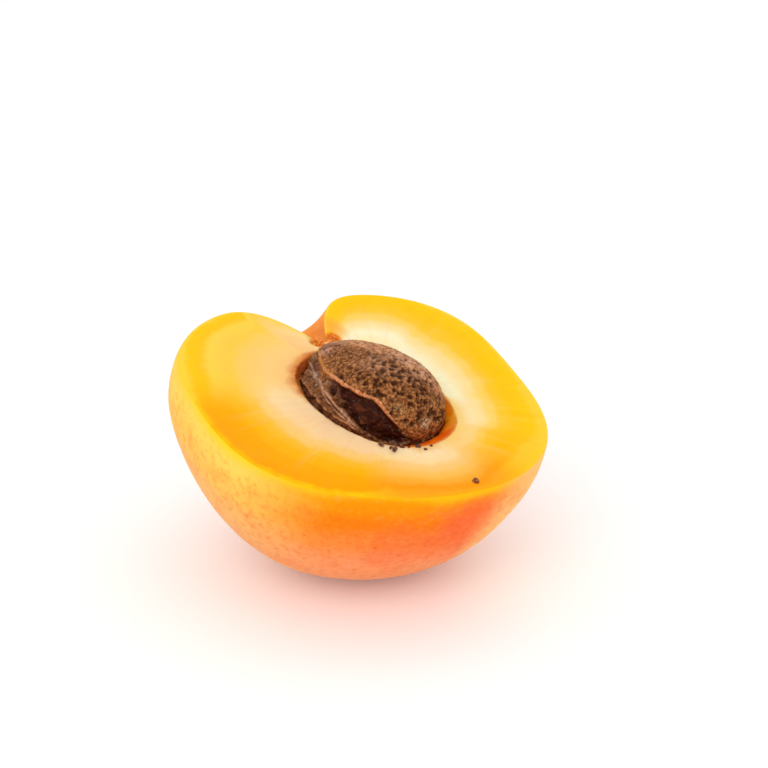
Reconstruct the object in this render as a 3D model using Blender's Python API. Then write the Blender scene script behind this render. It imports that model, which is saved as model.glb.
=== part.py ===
"""One half of an apricot, as cut round and twisted apart, with the stone left lying in its flesh.

The half stands on a small flat on its underside, leaning down toward its apex end.
Fruit axes: X runs from the stem end to the apex end, Y across the cut face, and Z out of it,
with zero at the bottom of the stem hollow. Sizes are in millimetres and angles in degrees.
"""
import math

import bmesh
import bpy
from mathutils import Matrix, Vector

MM = 0.001

# The half: radii run from the middle of the cut face, at a heading about Z and a dip below the face
FACE_MIDDLE = Vector((11.7, -0.7, 0.0))
GIRTH_RADIUS = 26.5
GIRTH_WAVES = ((2, 0.8, 2.0), (3, 0.6, 3.0), (4, 0.95, 33.0))  # order, height, heading of a crest
CHEEK_DEPTH = 28.1

# The skin tucks in just under the cut edge, most of all at the stem end
TUCK_MEAN = 1.2
TUCK_SWING = 1.7
TUCK_HEADING = 179.0
TUCK_REACH = 22.5  # dip at which the skin is back at its full girth

# The stem hollow takes this share of the radius at its middle
HOLLOW_SHARE = 0.57
HOLLOW_HEADING = 175.0
HOLLOW_SPREAD = 12.3

# The stone: semi-axes along, across and through it
STONE_HALF_LENGTH = 12.0
STONE_HALF_WIDTH = 8.8
STONE_HALF_THICKNESS = 7.7
STONE_FULLNESS = 2.3
STONE_MIDDLE = Vector((14.6, -0.8, -1.1))
STONE_ROLL = 20.0  # about its length, keel edge up
STONE_RISE = 16.0  # its apex end above its stem end
STONE_YAW = 7.0

# Three ridges run along the stone's keel edge, with two grooves between them
RIDGE_SPACING = 22.0
GROOVE_DEPTH = 0.8

# The hollow that the stone lies in clears it all round, and runs on past its apex end
STONE_CLEARANCE = 0.35
HOLLOW_APEX_ROOM = 2.2

# How the half stands
AXIS_HEADING = -56.0
LEAN = 13.0
FOOT_DEPTH = 0.6

FRUIT_SEGMENTS, FRUIT_RINGS = 72, 36
STONE_SEGMENTS, STONE_RINGS = 60, 26
HOLLOW_SEGMENTS, HOLLOW_RINGS = 40, 24


def clear_scene():
    for thing in list(bpy.data.objects):
        bpy.data.objects.remove(thing, do_unlink=True)


def new_collection(name):
    collection = bpy.data.collections.new(name)
    bpy.context.scene.collection.children.link(collection)
    return collection


def new_material(name, colour, roughness):
    material = bpy.data.materials.new(name)
    material.use_nodes = True
    shader = material.node_tree.nodes["Principled BSDF"]
    shader.inputs["Base Color"].default_value = (*colour, 1.0)
    shader.inputs["Roughness"].default_value = roughness
    shader.inputs["Metallic"].default_value = 0.0
    return material


def new_object(name, mesh, collection, material=None):
    thing = bpy.data.objects.new(name, mesh)
    collection.objects.link(thing)
    if material:
        mesh.materials.append(material)
    mesh.shade_smooth()
    mesh.set_sharp_from_angle(angle=math.radians(40))
    return thing


def shaped_sphere(name, segments, rings, place):
    """A unit sphere with every point moved by place(direction), which answers in millimetres."""
    mesh = bpy.data.meshes.new(name)
    form = bmesh.new()
    bmesh.ops.create_uvsphere(form, u_segments=segments, v_segments=rings, radius=1.0)
    for vertex in form.verts:
        vertex.co = place(vertex.co.normalized()) * MM
    form.to_mesh(mesh)
    form.free()
    return mesh


def girth_radius(heading, dip):
    """The fruit's girth at a heading: a circle with a few low waves round it, which die out below."""
    waves = (height * math.cos(order * (heading - math.radians(crest)))
             for order, height, crest in GIRTH_WAVES)
    return GIRTH_RADIUS + sum(waves) * math.cos(dip) ** 2


def skin_radius(heading, dip):
    """Distance from the middle of the cut face to the skin: an ellipse in section, less tuck and hollow."""
    radius = 1.0 / math.hypot(math.cos(dip) / girth_radius(heading, dip), math.sin(dip) / CHEEK_DEPTH)
    tuck = TUCK_MEAN + TUCK_SWING * math.cos(heading - math.radians(TUCK_HEADING))
    radius -= tuck * max(0.0, 1.0 - dip / math.radians(TUCK_REACH)) ** 2
    towards_stem = math.cos(dip) * math.cos(heading - math.radians(HOLLOW_HEADING))
    off_stem = math.degrees(math.acos(max(-1.0, min(1.0, towards_stem))))
    return radius * (1.0 - HOLLOW_SHARE * math.exp(-(off_stem / HOLLOW_SPREAD) ** 2))


def place_on_half(direction):
    """The sphere's lower half becomes the skin, and its upper half lies down as the cut face."""
    heading = math.atan2(direction.y, direction.x)
    reach = math.hypot(direction.x, direction.y)
    dip = max(0.0, math.asin(max(-1.0, min(1.0, -direction.z))))
    radius = skin_radius(heading, dip)
    flat = Vector((math.cos(heading), math.sin(heading), 0.0)) * radius * reach
    return FACE_MIDDLE + flat - Vector((0.0, 0.0, radius * math.sin(dip)))


def ellipsoid_radius(direction, length, width, thickness):
    """A full ellipsoid: round in section, with ends blunter than an ellipse's."""
    section = math.hypot(direction.y / width, direction.z / thickness)
    along = abs(direction.x) / length
    return (along ** STONE_FULLNESS + section ** STONE_FULLNESS) ** (-1.0 / STONE_FULLNESS)


def along_stone(direction):
    """Turns the sphere's poles to the stone's two ends."""
    return Vector((direction.z, direction.x, direction.y))


def stone_to_fruit():
    """Where the stone lies in the fruit: rolled about its length, its apex end raised, then yawed."""
    roll = Matrix.Rotation(math.radians(-STONE_ROLL), 4, "X")
    rise = Matrix.Rotation(math.radians(-STONE_RISE), 4, "Y")
    yaw = Matrix.Rotation(math.radians(STONE_YAW), 4, "Z")
    return Matrix.Translation(STONE_MIDDLE) @ yaw @ rise @ roll


def place_on_stone(direction):
    """The stone: an ellipsoid cut in by the two grooves on either side of its keel, at -Y."""
    direction = along_stone(direction)
    radius = ellipsoid_radius(direction, STONE_HALF_LENGTH, STONE_HALF_WIDTH, STONE_HALF_THICKNESS)
    off_keel = abs(math.degrees(math.atan2(direction.z, -direction.y)))
    groove = 0.5 - 0.5 * math.cos(math.tau * off_keel / RIDGE_SPACING)
    fade = math.hypot(direction.y, direction.z) ** 2
    if off_keel < RIDGE_SPACING:
        radius -= GROOVE_DEPTH * groove * fade
    return stone_to_fruit() @ (direction * radius)


def place_on_hollow(direction):
    """The stone's ellipsoid grown by the clearance, and longer toward the apex."""
    direction = along_stone(direction)
    length = STONE_HALF_LENGTH + STONE_CLEARANCE
    if direction.x > 0.0:
        length += HOLLOW_APEX_ROOM
    width = STONE_HALF_WIDTH + STONE_CLEARANCE
    thickness = STONE_HALF_THICKNESS + STONE_CLEARANCE
    return stone_to_fruit() @ (direction * ellipsoid_radius(direction, length, width, thickness))


def fruit_to_world(half_mesh):
    """Turns the fruit to its standing pose, with the middle of its foot's box at the origin."""
    turn = Matrix.Rotation(math.radians(AXIS_HEADING), 4, "Z") @ Matrix.Rotation(math.radians(LEAN), 4, "Y")
    points = [turn @ vertex.co for vertex in half_mesh.vertices]
    middle_x = (min(p.x for p in points) + max(p.x for p in points)) / 2
    middle_y = (min(p.y for p in points) + max(p.y for p in points)) / 2
    foot = min(p.z for p in points) + FOOT_DEPTH * MM
    return Matrix.Translation((-middle_x, -middle_y, -foot)) @ turn


def add_cut(thing, name, cutter):
    cut = thing.modifiers.new(name, "BOOLEAN")
    cut.operation = "DIFFERENCE"
    cut.solver = "EXACT"
    cut.object = cutter


def hide_cutter(cutter):
    cutter.hide_render = True
    cutter.display_type = "WIRE"


def build():
    clear_scene()
    fruit = new_collection("apricot")
    cutters = new_collection("cutters")
    flesh = new_material("apricot_flesh", (0.95, 0.52, 0.10), 0.45)
    shell = new_material("stone_shell", (0.22, 0.11, 0.06), 0.7)

    half_mesh = shaped_sphere("apricot_half", FRUIT_SEGMENTS, FRUIT_RINGS, place_on_half)
    pose = fruit_to_world(half_mesh)
    half = new_object("apricot_half", half_mesh, fruit, flesh)
    half.matrix_world = pose

    stone_mesh = shaped_sphere("stone", STONE_SEGMENTS, STONE_RINGS, place_on_stone)
    stone = new_object("stone", stone_mesh, fruit, shell)
    stone.matrix_world = pose

    hollow_mesh = shaped_sphere("stone_hollow", HOLLOW_SEGMENTS, HOLLOW_RINGS, place_on_hollow)
    hollow = new_object("stone_hollow", hollow_mesh, cutters)
    hollow.matrix_world = pose
    hide_cutter(hollow)

    block_size = 0.04
    bpy.ops.mesh.primitive_cube_add(size=block_size, location=(0.0, 0.0, -block_size / 2))
    ground = bpy.context.object
    ground.name = "foot_plane"
    for collection in list(ground.users_collection):
        collection.objects.unlink(ground)
    cutters.objects.link(ground)
    hide_cutter(ground)

    add_cut(half, "stone_hollow", hollow)
    add_cut(half, "foot", ground)


build()
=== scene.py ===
"""The looks of an apricot half with its stone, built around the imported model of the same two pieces."""
import math

import bpy
import numpy as np
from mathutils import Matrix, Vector


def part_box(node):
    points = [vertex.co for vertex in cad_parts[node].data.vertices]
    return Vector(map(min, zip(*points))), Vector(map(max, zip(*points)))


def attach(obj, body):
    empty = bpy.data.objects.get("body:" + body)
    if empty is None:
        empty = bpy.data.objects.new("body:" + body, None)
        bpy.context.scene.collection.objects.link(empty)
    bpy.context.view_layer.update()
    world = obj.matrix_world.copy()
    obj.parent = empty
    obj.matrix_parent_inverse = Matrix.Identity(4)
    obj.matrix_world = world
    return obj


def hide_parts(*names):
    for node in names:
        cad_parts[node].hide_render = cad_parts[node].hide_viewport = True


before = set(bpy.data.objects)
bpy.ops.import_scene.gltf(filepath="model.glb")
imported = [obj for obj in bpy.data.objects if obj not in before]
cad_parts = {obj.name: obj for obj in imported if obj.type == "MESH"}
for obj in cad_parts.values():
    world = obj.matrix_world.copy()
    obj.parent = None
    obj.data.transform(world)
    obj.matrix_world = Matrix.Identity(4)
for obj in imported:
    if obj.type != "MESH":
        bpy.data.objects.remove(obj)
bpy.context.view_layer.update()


# --- The apricot half -------------------------------------------------------------------------
# Half of a ripe apricot, cut round along its suture and twisted apart. Skin and flesh are one grown
# piece: a velvety skin over a plump cheek, a moist cut face, and the hollow that held the stone.
# It stands on a small flat on its underside and leans toward its apex end.
# Lengths are in millimetres in the fruit's own axes: X from stem to apex, Y across the cut face,
# Z out of it, with zero at the bottom of the stem hollow.

FACE_MIDDLE = np.array([11.7, -0.7, 0.0])
GIRTH_RADIUS = 26.5
GIRTH_WAVES = ((2, 0.8, 2.0), (3, 0.6, 3.0), (4, 0.95, 33.0))  # order, height, heading of a crest
CHEEK_DEPTH = 28.1
TUCK_MEAN, TUCK_SWING, TUCK_HEADING, TUCK_REACH = 1.2, 1.7, 179.0, 22.5
STEM_SHARE, STEM_HEADING, STEM_SPREAD = 0.57, 175.0, 12.3  # the bite that the stem hollow takes
AXIS_HEADING, LEAN, FOOT_DEPTH = -56.0, 13.0, 0.6

STONE_MIDDLE = np.array([14.6, -0.8, -1.1])
STONE_SEMI_AXES = np.array([12.0, 8.8, 7.7])
STONE_FULLNESS = 2.3
STONE_ROLL, STONE_RISE, STONE_YAW = 20.0, 16.0, 7.0
STONE_CLEARANCE, APEX_ROOM = 0.35, 2.2
TEAR_MIDDLE, TEAR_SIZE = np.array([0.7, 0.6, 0.0]), np.array([2.1, 2.7, 2.5])
LIP_HEADING, LIP_SETBACK, LIP_SHELF = 205.0, 0.50, 1.05

HEADINGS, HEADING_CROWDING = 384, 0.45
HOLLOW_RINGS, LIP_RINGS, FACE_RINGS, EDGE_RINGS, SKIN_RINGS = 44, 4, 96, 7, 108
LIP_EASE, EDGE_EASE = 0.35, 0.7  # how far the rounding of the rim and of the cut edge reaches
LOWEST_DIP = 89.3
SETTLING = 0.05  # square millimetres
NOISE_TABLE = 8192


def radians(degrees):
    """Degrees to radians, for arrays and numbers alike."""
    return np.asarray(degrees) * math.pi / 180


def turned(points, degrees, axis):
    """Points turned about X, Y or Z through the origin by the right-hand rule."""
    cos, sin = math.cos(radians(degrees)), math.sin(radians(degrees))
    first, second = {"X": (1, 2), "Y": (2, 0), "Z": (0, 1)}[axis]
    result = np.array(points, dtype=float)
    result[..., first] = cos * points[..., first] - sin * points[..., second]
    result[..., second] = sin * points[..., first] + cos * points[..., second]
    return result


def stone_to_fruit(points):
    """The stone's own axes to the fruit's: rolled about its length, apex end raised, yawed, and moved."""
    raised = turned(turned(points, -STONE_ROLL, "X"), -STONE_RISE, "Y")
    return turned(raised, STONE_YAW, "Z") + STONE_MIDDLE


def table_row(cell):
    """A scattered row of the noise table for each cell of a lattice: its three whole numbers, each times
    a large prime, combined bit by bit."""
    mixed_bits = cell[..., 0] * 73856093 ^ cell[..., 1] * 19349663 ^ cell[..., 2] * 83492791
    return mixed_bits & (NOISE_TABLE - 1)


def lattice_noise(points, size, seed):
    """Smooth noise from -1 to 1: random values on a cubic lattice, eased between the eight corners."""
    scaled = points / size
    cell = np.floor(scaled).astype(np.int64)
    ease = scaled - cell
    ease = ease * ease * (3 - 2 * ease)
    table = np.random.default_rng(seed).uniform(-1, 1, NOISE_TABLE)

    def corner(x, y, z):
        return table[table_row(cell + np.array([x, y, z]))]

    def along(axis, low, high):
        return low + (high - low) * ease[..., axis]

    floor = along(1, along(0, corner(0, 0, 0), corner(1, 0, 0)), along(0, corner(0, 1, 0), corner(1, 1, 0)))
    roof = along(1, along(0, corner(0, 0, 1), corner(1, 0, 1)), along(0, corner(0, 1, 1), corner(1, 1, 1)))
    return along(2, floor, roof)


def rough_noise(points, size, seed, octaves=3):
    """Lattice noise summed over octaves, each half the size and 0.55 of the height of the last."""
    return sum(0.55 ** k * lattice_noise(points, size / 2 ** k, seed + k) for k in range(octaves))


def smooth_step(low, high, value):
    """0 below low, 1 above high, eased between."""
    share = np.clip((value - low) / (high - low), 0, 1)
    return share * share * (3 - 2 * share)


def compass(heading):
    """Unit vectors in the cut plane at each heading from +X toward +Y."""
    return np.stack([np.cos(heading), np.sin(heading), np.zeros_like(heading)], axis=-1)


def skin_point(heading, dip):
    """The skin at a heading about Z and a dip below the cut plane, from the middle of the face.
    The radius is an ellipse in section whose girth is a circle with a few low waves. It loses a tuck
    that fades below the cut edge, and then a bell-shaped share round the stem hollow."""
    girth = GIRTH_RADIUS + np.cos(dip) ** 2 * sum(
        height * np.cos(order * (heading - radians(crest))) for order, height, crest in GIRTH_WAVES)
    radius = 1 / np.hypot(np.cos(dip) / girth, np.sin(dip) / CHEEK_DEPTH)
    tuck = TUCK_MEAN + TUCK_SWING * np.cos(heading - radians(TUCK_HEADING))
    radius -= tuck * np.clip(1 - dip / radians(TUCK_REACH), 0, 1) ** 2
    towards_stem = np.cos(dip) * np.cos(heading - radians(STEM_HEADING))
    off_stem = np.arccos(np.clip(towards_stem, -1, 1))
    radius *= 1 - STEM_SHARE * np.exp(-(off_stem / radians(STEM_SPREAD)) ** 2)
    direction = compass(heading) * np.cos(dip)[..., None]
    direction[..., 2] = -np.sin(dip)
    return FACE_MIDDLE + direction * radius[..., None]


def ellipsoid_radius(direction, semi_axes):
    """How far a full ellipsoid reaches in a direction: round in section, with a power a little over two
    along it, so that its ends are blunter than an ellipse's."""
    section = np.hypot(direction[..., 1] / semi_axes[1], direction[..., 2] / semi_axes[2])
    along = np.abs(direction[..., 0]) / semi_axes[0]
    return (along ** STONE_FULLNESS + section ** STONE_FULLNESS) ** (-1 / STONE_FULLNESS)


def hollow_point(heading, dip):
    """The hollow's wall at a heading and dip from the stone's middle: the stone grown by its clearance.
    At the apex end it opens out toward the rim, so that the wall slopes up to the cut face. At the stem
    end it closes in, first by a setback at the rim and then by a shelf that slopes down to the stone."""
    direction = compass(heading) * np.cos(dip)[..., None]
    direction[..., 2] = -np.sin(dip)
    local = turned(turned(turned(direction, -STONE_YAW, "Z"), STONE_RISE, "Y"), STONE_ROLL, "X")
    close = ellipsoid_radius(local, STONE_SEMI_AXES + STONE_CLEARANCE)
    roomy = ellipsoid_radius(local, STONE_SEMI_AXES + STONE_CLEARANCE + np.array([APEX_ROOM, 0, 0]))
    opening = smooth_step(radians(1), radians(-6), dip)
    radius = np.where(local[..., 0] > 0, close + (roomy - close) * opening - 0.3 * (1 - opening), close)
    at_lip = smooth_step(math.cos(radians(75)), math.cos(radians(25)), np.cos(heading - radians(LIP_HEADING)))
    radius = radius - at_lip * (LIP_SETBACK + LIP_SHELF * smooth_step(radians(-7), radians(0), dip))
    return STONE_MIDDLE + direction * radius[..., None]


def hollow_rim_dip(heading):
    """The dip at which the hollow's wall meets the cut plane, by repeated correction."""
    dip = np.zeros_like(heading)
    for _ in range(6):
        reach = np.linalg.norm(hollow_point(heading, dip) - STONE_MIDDLE, axis=-1)
        dip = np.arcsin(STONE_MIDDLE[2] / reach)
    return dip


def eased_corner(before, corner, after, count):
    """Rings round a corner: a parabola from one ring to another with the corner as its handle."""
    t = np.linspace(0, 1, count + 2)[1:-1, None, None]
    return (1 - t) ** 2 * before + 2 * t * (1 - t) * corner + t ** 2 * after


def add_object(name, data):
    """An object in the scene, at the origin."""
    made = bpy.data.objects.new(name, data)
    bpy.context.scene.collection.objects.link(made)
    return made


def ring_faces(count, around):
    """The faces of a stack of rings, each joined to the next, with a point before the first and one after
    the last: triangles that open it, quads ring by ring, and triangles that close it."""
    here = np.arange(around)
    beside = (here + 1) % around
    row = 1 + around * np.arange(count - 1)[:, None]
    quads = np.stack([row + here, row + around + here, row + around + beside, row + beside], axis=-1)
    final = 1 + around * (count - 1)
    opening = np.stack([np.zeros_like(here), 1 + here, 1 + beside], axis=-1)
    closing = np.stack([final + here, np.full_like(here, final + around), final + beside], axis=-1)
    return opening, quads.reshape(-1, 4), closing


def closed_surface(name, first, rings, last, journey):
    """A mesh of rings joined each to the next, closed by a point at either end.
    Its UV map is the grid itself: round the rings, and along the journey from 0 to 1."""
    count, around = rings.shape[:2]
    points = np.concatenate([first[None], rings.reshape(-1, 3), last[None]])
    opening, quads, closing = ring_faces(count, around)
    loops = np.concatenate([opening.ravel(), quads.ravel(), closing.ravel()])
    sizes = np.concatenate([np.full(around, 3), np.full(len(quads), 4), np.full(around, 3)])

    left = np.arange(around) / around
    right = np.arange(1, around + 1) / around
    middle = (left + right) / 2
    level = np.asarray(journey)
    shape = (count - 1, around)
    quad_u = np.stack([np.broadcast_to(side, shape) for side in (left, left, right, right)], axis=-1)
    quad_v = np.stack([np.broadcast_to(end[:, None], shape)
                       for end in (level[:-1], level[1:], level[1:], level[:-1])], axis=-1)
    opening_uv = np.stack([np.stack([middle, left, right], -1),
                           np.tile([0, level[0], level[0]], (around, 1))], -1)
    closing_uv = np.stack([np.stack([left, middle, right], -1),
                           np.tile([level[-1], 1, level[-1]], (around, 1))], -1)
    quad_uv = np.stack([quad_u, quad_v], axis=-1)
    uv = np.concatenate([part.reshape(-1, 2) for part in (opening_uv, quad_uv, closing_uv)])

    mesh = bpy.data.meshes.new(name)
    mesh.vertices.add(len(points))
    mesh.vertices.foreach_set("co", points.ravel())
    mesh.loops.add(len(loops))
    mesh.loops.foreach_set("vertex_index", loops.astype(np.int32))
    mesh.polygons.add(len(sizes))
    mesh.polygons.foreach_set("loop_start", np.concatenate([[0], np.cumsum(sizes)[:-1]]).astype(np.int32))
    mesh.update(calc_edges=True)
    mesh.uv_layers.new(name="OFBake").data.foreach_set("uv", uv.ravel())
    mesh.shade_smooth()
    return add_object(name, mesh)


def add_field(piece, name, first, rings, last):
    """A named vector on each point of a closed surface, for its material to read."""
    values = np.concatenate([[first], rings.reshape(-1, 3), [last]])
    layer = piece.data.attributes.new(name, "FLOAT_VECTOR", "POINT")
    layer.data.foreach_set("vector", values.astype(np.float32).ravel())


# Headings crowd toward the stem hollow, where the outline turns sharply.
turn = np.linspace(0, 2 * math.pi, HEADINGS, endpoint=False)
heading = turn - HEADING_CROWDING * np.sin(turn - radians(STEM_HEADING))

# Down in the hollow: the wall from its deepest point up to the cut plane, torn and stringy.
hollow_share = 1 - (1 - np.linspace(0.02, 1, HOLLOW_RINGS))[:, None] ** 1.8
hollow_dip = math.pi / 2 * (1 - hollow_share) + hollow_rim_dip(heading) * hollow_share
wall = hollow_point(heading + 0 * hollow_share, hollow_dip)
hollow_rim = wall[-1]
string_place = 26 * compass(heading) + np.array([0, 0, 2]) * hollow_share[..., None]
torn = 0.16 * rough_noise(wall, 1.6, 3) + 0.12 * lattice_noise(string_place, 1.0, 11)
wall = wall + compass(heading) * (np.abs(torn) * smooth_step(0, 0.3, hollow_share))[..., None]

# Across the cut face: straight from the hollow's rim to the cut edge. It is faintly uneven, its fibres
# stand a little proud, it swells softly round the hollow, and it is ragged where the bundle tore.
cut_edge = skin_point(heading, np.zeros_like(heading))
span = np.linalg.norm(cut_edge - hollow_rim, axis=-1)
lip_share = (LIP_EASE / span)[:, None]
edge_share = (EDGE_EASE / span)[:, None]
face_share = lip_share + (1 - edge_share - lip_share) * np.linspace(0, 1, FACE_RINGS)[:, None, None]
face = hollow_rim + (cut_edge - hollow_rim) * face_share
share = face_share[..., 0]
fibre_place = 46 * compass(heading) + np.array([0, 0, 0.2]) * (share * span)[..., None]
fibres = lattice_noise(fibre_place, 1.0, 21) + 0.6 * lattice_noise(fibre_place * 2.1, 1.0, 22)
face_height = 0.16 * lattice_noise(face, 8.0, 31) + 0.05 * lattice_noise(face, 2.6, 32)
face_height += 0.02 * fibres * (1 - smooth_step(0.35, 0.95, share))
face_height += 0.22 * np.exp(-(share * span / 0.9) ** 2) * (0.7 + 0.8 * lattice_noise(face, 1.3, 33))
face_height *= 1 - smooth_step(0.85, 1.0, share)
off_tear = np.linalg.norm((face - TEAR_MIDDLE) / TEAR_SIZE, axis=-1)
at_tear = smooth_step(1.15, 0.75, off_tear)
face_height += at_tear * (0.55 * rough_noise(face, 1.1, 35) - 0.35) * smooth_step(1.0, 0.85, share)
face[..., 2] += face_height

# Down the skin: from just under the cut edge to the lowest point, faintly lumpy and finely pored.
edge_dip = EDGE_EASE / GIRTH_RADIUS
skin_share = np.linspace(0, 1, SKIN_RINGS)[:, None]
dip = edge_dip + (radians(LOWEST_DIP) - edge_dip) * skin_share ** 1.1
skin = skin_point(*np.broadcast_arrays(heading, dip))
unevenness = sum(height * lattice_noise(skin, size, seed)
                 for height, size, seed in ((0.22, 11.0, 41), (0.07, 3.5, 42), (0.014, 0.8, 43)))
skin_out = skin - FACE_MIDDLE
skin_out /= np.linalg.norm(skin_out, axis=-1, keepdims=True)
skin += skin_out * (unevenness * smooth_step(0, 0.08, skin_share))[..., None]

lip = eased_corner(wall[-2], hollow_rim + np.array([0, 0, 0.05]), face[0], LIP_RINGS)
edge = eased_corner(face[-1], cut_edge, skin[0], EDGE_RINGS)
half_rings = np.concatenate([wall[:-1], lip, face, edge, skin])
hollow_floor = wall[0].mean(axis=0)
underside = skin[-1].mean(axis=0)

# How far each point is along the journey: -1 to 0 up the hollow, 0 to 1 over the face, 1 to 2 down the
# skin. The ring levels are the same journey for the UV map, where each stretch gets its share of the map.
progress = np.concatenate([
    np.broadcast_to(hollow_share[:-1] - 1, (len(wall) - 1, HEADINGS)),
    np.zeros((len(lip), HEADINGS)),
    share,
    np.linspace(0.98, 1.01, len(edge))[:, None] + np.zeros(HEADINGS),
    1 + np.broadcast_to(dip / (math.pi / 2), (len(dip), HEADINGS)),
])
ring_level = np.concatenate([
    np.linspace(0.01, 0.14, len(wall) - 1),
    np.linspace(0.142, 0.15, len(lip)),
    np.linspace(0.152, 0.50, len(face)),
    np.linspace(0.503, 0.52, len(edge)),
    np.linspace(0.523, 0.995, len(skin)),
])


def fruit_turned(points):
    """The fruit's axes turned to its standing pose, still in millimetres and about its own zero."""
    return turned(turned(points, LEAN, "Y"), AXIS_HEADING, "Z")


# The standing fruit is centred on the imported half's box, with its foot on the same plane. Its reach is
# taken from the smooth outline, sampled from the cut edge down.
half_low, half_high = (np.array(corner) * 1000 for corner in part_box("apricot_half"))
standing = fruit_turned(skin_point(*np.meshgrid(heading, np.linspace(0, math.pi / 2, 120))))
reach_low, reach_high = standing.min(axis=(0, 1)), standing.max(axis=(0, 1))
fruit_zero = (half_low + half_high) / 2 - (reach_low + reach_high) / 2
fruit_zero[2] = half_low[2] - reach_low[2] - FOOT_DEPTH


def fruit_to_scene(points):
    """The fruit's axes in millimetres to the scene's in metres."""
    return (fruit_turned(np.asarray(points, dtype=float)) + fruit_zero) / 1000


def settled(points):
    """Soft flesh presses flat where it meets the surface. A height becomes the mean of itself and the root
    of its square plus a little, less what that gives at the lowest point of the unpressed fruit."""
    def pressed(height):
        return 0.5 * (height + np.sqrt(height ** 2 + SETTLING)) / 1000

    result = points.copy()
    result[..., 2] = np.maximum(pressed(points[..., 2] * 1000) - pressed(-FOOT_DEPTH), 0)
    return result


half = closed_surface(
    "apricot_half_fruit",
    fruit_to_scene(hollow_floor),
    settled(fruit_to_scene(half_rings)),
    settled(fruit_to_scene(underside)),
    ring_level,
)
heading_and_progress = compass(heading) + np.array([0, 0, 1]) * progress[..., None]
add_field(half, "place", [0, 0, -1], heading_and_progress, [0, 0, 2])
add_field(half, "fruit_place", hollow_floor, half_rings, underside)


def linear(red, green, blue):
    """A screen colour, 0 to 255, as the linear colour that shaders take."""
    screen = np.array([red, green, blue]) / 255
    return tuple(np.where(screen <= 0.04045, screen / 12.92, ((screen + 0.055) / 1.055) ** 2.4)) + (1.0,)


def grey(level):
    """A plain level as a colour, for a ramp that gives a roughness."""
    return (level, level, level, 1.0)


def feed(tree, target, inputs):
    """Gives each of a node's inputs a plain value, or a socket to take its value from."""
    for key, value in dict(inputs).items():
        if isinstance(value, bpy.types.NodeSocket):
            tree.links.new(value, target.inputs[key])
        else:
            target.inputs[key].default_value = value


def node(tree, kind, inputs=(), **settings):
    """Adds a shader node with its settings and inputs."""
    made = tree.nodes.new("ShaderNode" + kind)
    for name, value in settings.items():
        setattr(made, name, value)
    feed(tree, made, inputs)
    return made


def math_node(tree, operation, *values):
    """One step of arithmetic on values or sockets."""
    return node(tree, "Math", dict(enumerate(values)), operation=operation).outputs[0]


def times(tree, first, second):
    """Two values multiplied."""
    return math_node(tree, "MULTIPLY", first, second)


def nudged(tree, value, by, amount):
    """A value moved up or down by an amount of a noise, which lies about one half."""
    return math_node(tree, "MULTIPLY_ADD", math_node(tree, "SUBTRACT", by, 0.5), amount, value)


def mixed(tree, share, first, second):
    """Two colours mixed by a share."""
    inputs = {0: share, 6: first, 7: second}
    return node(tree, "Mix", inputs, data_type="RGBA", clamp_factor=True).outputs[2]


def ramp(tree, value, stops):
    """A colour ramp from its stops, each a position and a colour, eased between them."""
    made = node(tree, "ValToRGB", {"Fac": value})
    band = made.color_ramp
    band.interpolation = "EASE"
    while len(band.elements) < len(stops):
        band.elements.new(0.5)
    for element, (position, colour) in zip(band.elements, stops):
        element.position = position
        element.color = colour
    return made.outputs["Color"]


def mask(tree, value, low, high):
    """0 below low and 1 above high, eased between; low above high turns it round."""
    inputs = {"Value": value, "From Min": low, "From Max": high}
    return node(tree, "MapRange", inputs, interpolation_type="SMOOTHSTEP").outputs["Result"]


def noise(tree, vector, scale, detail=2.0, roughness=0.5):
    """Noise about 0.5 at a scale in repeats per unit of its vector."""
    inputs = {"Vector": vector, "Scale": scale, "Detail": detail, "Roughness": roughness}
    return node(tree, "TexNoise", inputs).outputs["Fac"]


def new_material(name):
    """A material with only its shader and output, and its tree."""
    material = bpy.data.materials.new(name)
    material.use_nodes = True
    tree = material.node_tree
    return material, tree, tree.nodes["Principled BSDF"]


def object_place(tree):
    """Where a point is in the scene's axes, in metres."""
    return node(tree, "TexCoord").outputs["Object"]


def field(tree, name):
    """A vector that a mesh carries on its points."""
    return node(tree, "Attribute", attribute_name=name, attribute_type="GEOMETRY").outputs["Vector"]


def field_parts(tree, name):
    """The X, Y and Z of a mesh's vector. Those of the half's place are the cosine and sine of its heading
    and its progress."""
    return node(tree, "SeparateXYZ", {"Vector": field(tree, name)}).outputs


def new_effect(name, inputs, output):
    """A shader node group for an effect that several materials share: its tree, what it is given, and the
    node that takes its one result. Inputs and output are names of sockets with their kinds."""
    tree = bpy.data.node_groups.new(name, "ShaderNodeTree")
    for socket, kind in inputs:
        tree.interface.new_socket(socket, in_out="INPUT", socket_type="NodeSocket" + kind)
    tree.interface.new_socket(output[0], in_out="OUTPUT", socket_type="NodeSocket" + output[1])
    return tree, tree.nodes.new("NodeGroupInput").outputs, tree.nodes.new("NodeGroupOutput")


def mottling_effect():
    """Two tones in the blotches of a noise: dark below one level of it, light above another, and eased
    between them."""
    tree, given, result = new_effect("mottling", (
        ("Noise", "Float"), ("Dark Below", "Float"), ("Light Above", "Float"), ("Dark", "Color"),
        ("Light", "Color")), ("Colour", "Color"))
    share = mask(tree, given["Noise"], given["Dark Below"], given["Light Above"])
    feed(tree, result, {"Colour": mixed(tree, share, given["Dark"], given["Light"])})
    return tree


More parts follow.
